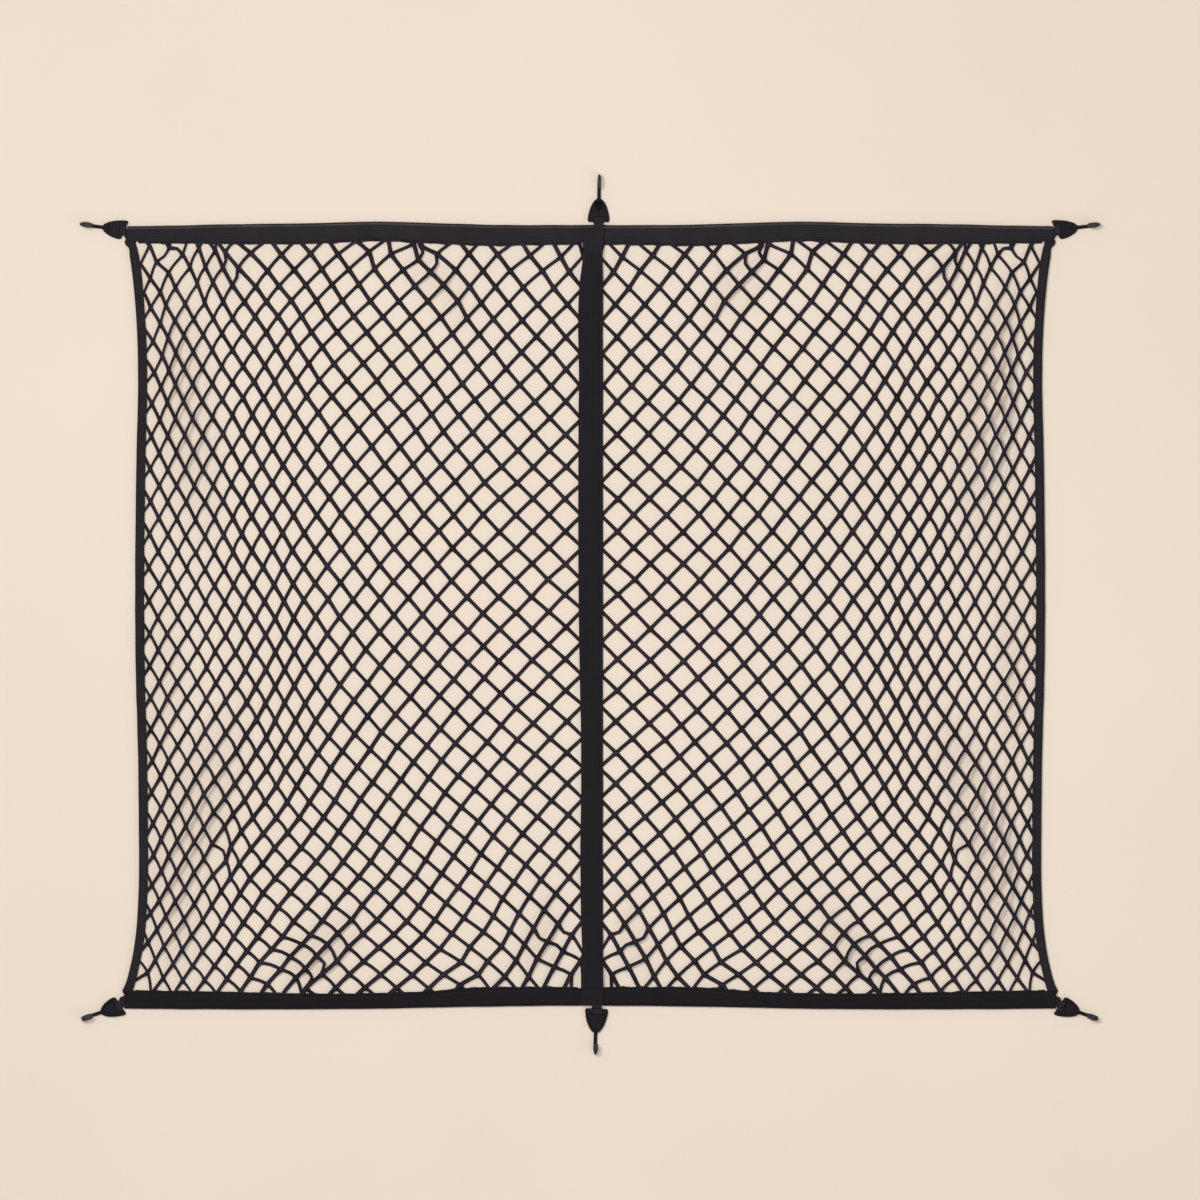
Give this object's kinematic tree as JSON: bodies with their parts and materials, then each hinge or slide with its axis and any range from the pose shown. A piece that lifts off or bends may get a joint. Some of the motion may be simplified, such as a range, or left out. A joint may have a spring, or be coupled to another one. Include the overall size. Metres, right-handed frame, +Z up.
{
  "type": "luggage net",
  "caption": "Elastic diamond-mesh luggage net laid flat, with folded webbing bands, side bindings, a centre strap and plastic hooks on tabs.",
  "frame": {"origin": "centre of the bounding box on the surface that the net lies on", "axes": "+X along the two webbing bands, +Y up the centre strap, +Z up from the surface"},
  "size_m": [0.9919, 0.8557, 0.0181],
  "materials": {
    "net_cord": "matt braided black cord",
    "band_webbing": "matt woven black webbing",
    "binding_tape": "matt woven black tape",
    "strap_webbing": "matt ribbed black webbing",
    "tab_webbing": "matt woven black webbing",
    "hook_plastic": "satin moulded black plastic"
  },
  "bodies": {
    "root": {"net_left": "net_cord", "net_right": "net_cord", "band_top": "band_webbing", "band_bottom": "band_webbing", "binding_left": "binding_tape", "binding_right": "binding_tape", "centre_strap": "strap_webbing", "hook_top_left": "hook_plastic", "hook_top_centre": "hook_plastic", "hook_top_right": "hook_plastic", "hook_bottom_left": "hook_plastic", "hook_bottom_centre": "hook_plastic", "hook_bottom_right": "hook_plastic", "tab_top_left": "tab_webbing", "tab_top_centre": "tab_webbing", "tab_top_right": "tab_webbing", "tab_bottom_left": "tab_webbing", "tab_bottom_centre": "tab_webbing", "tab_bottom_right": "tab_webbing"}
  },
  "joints": []
}
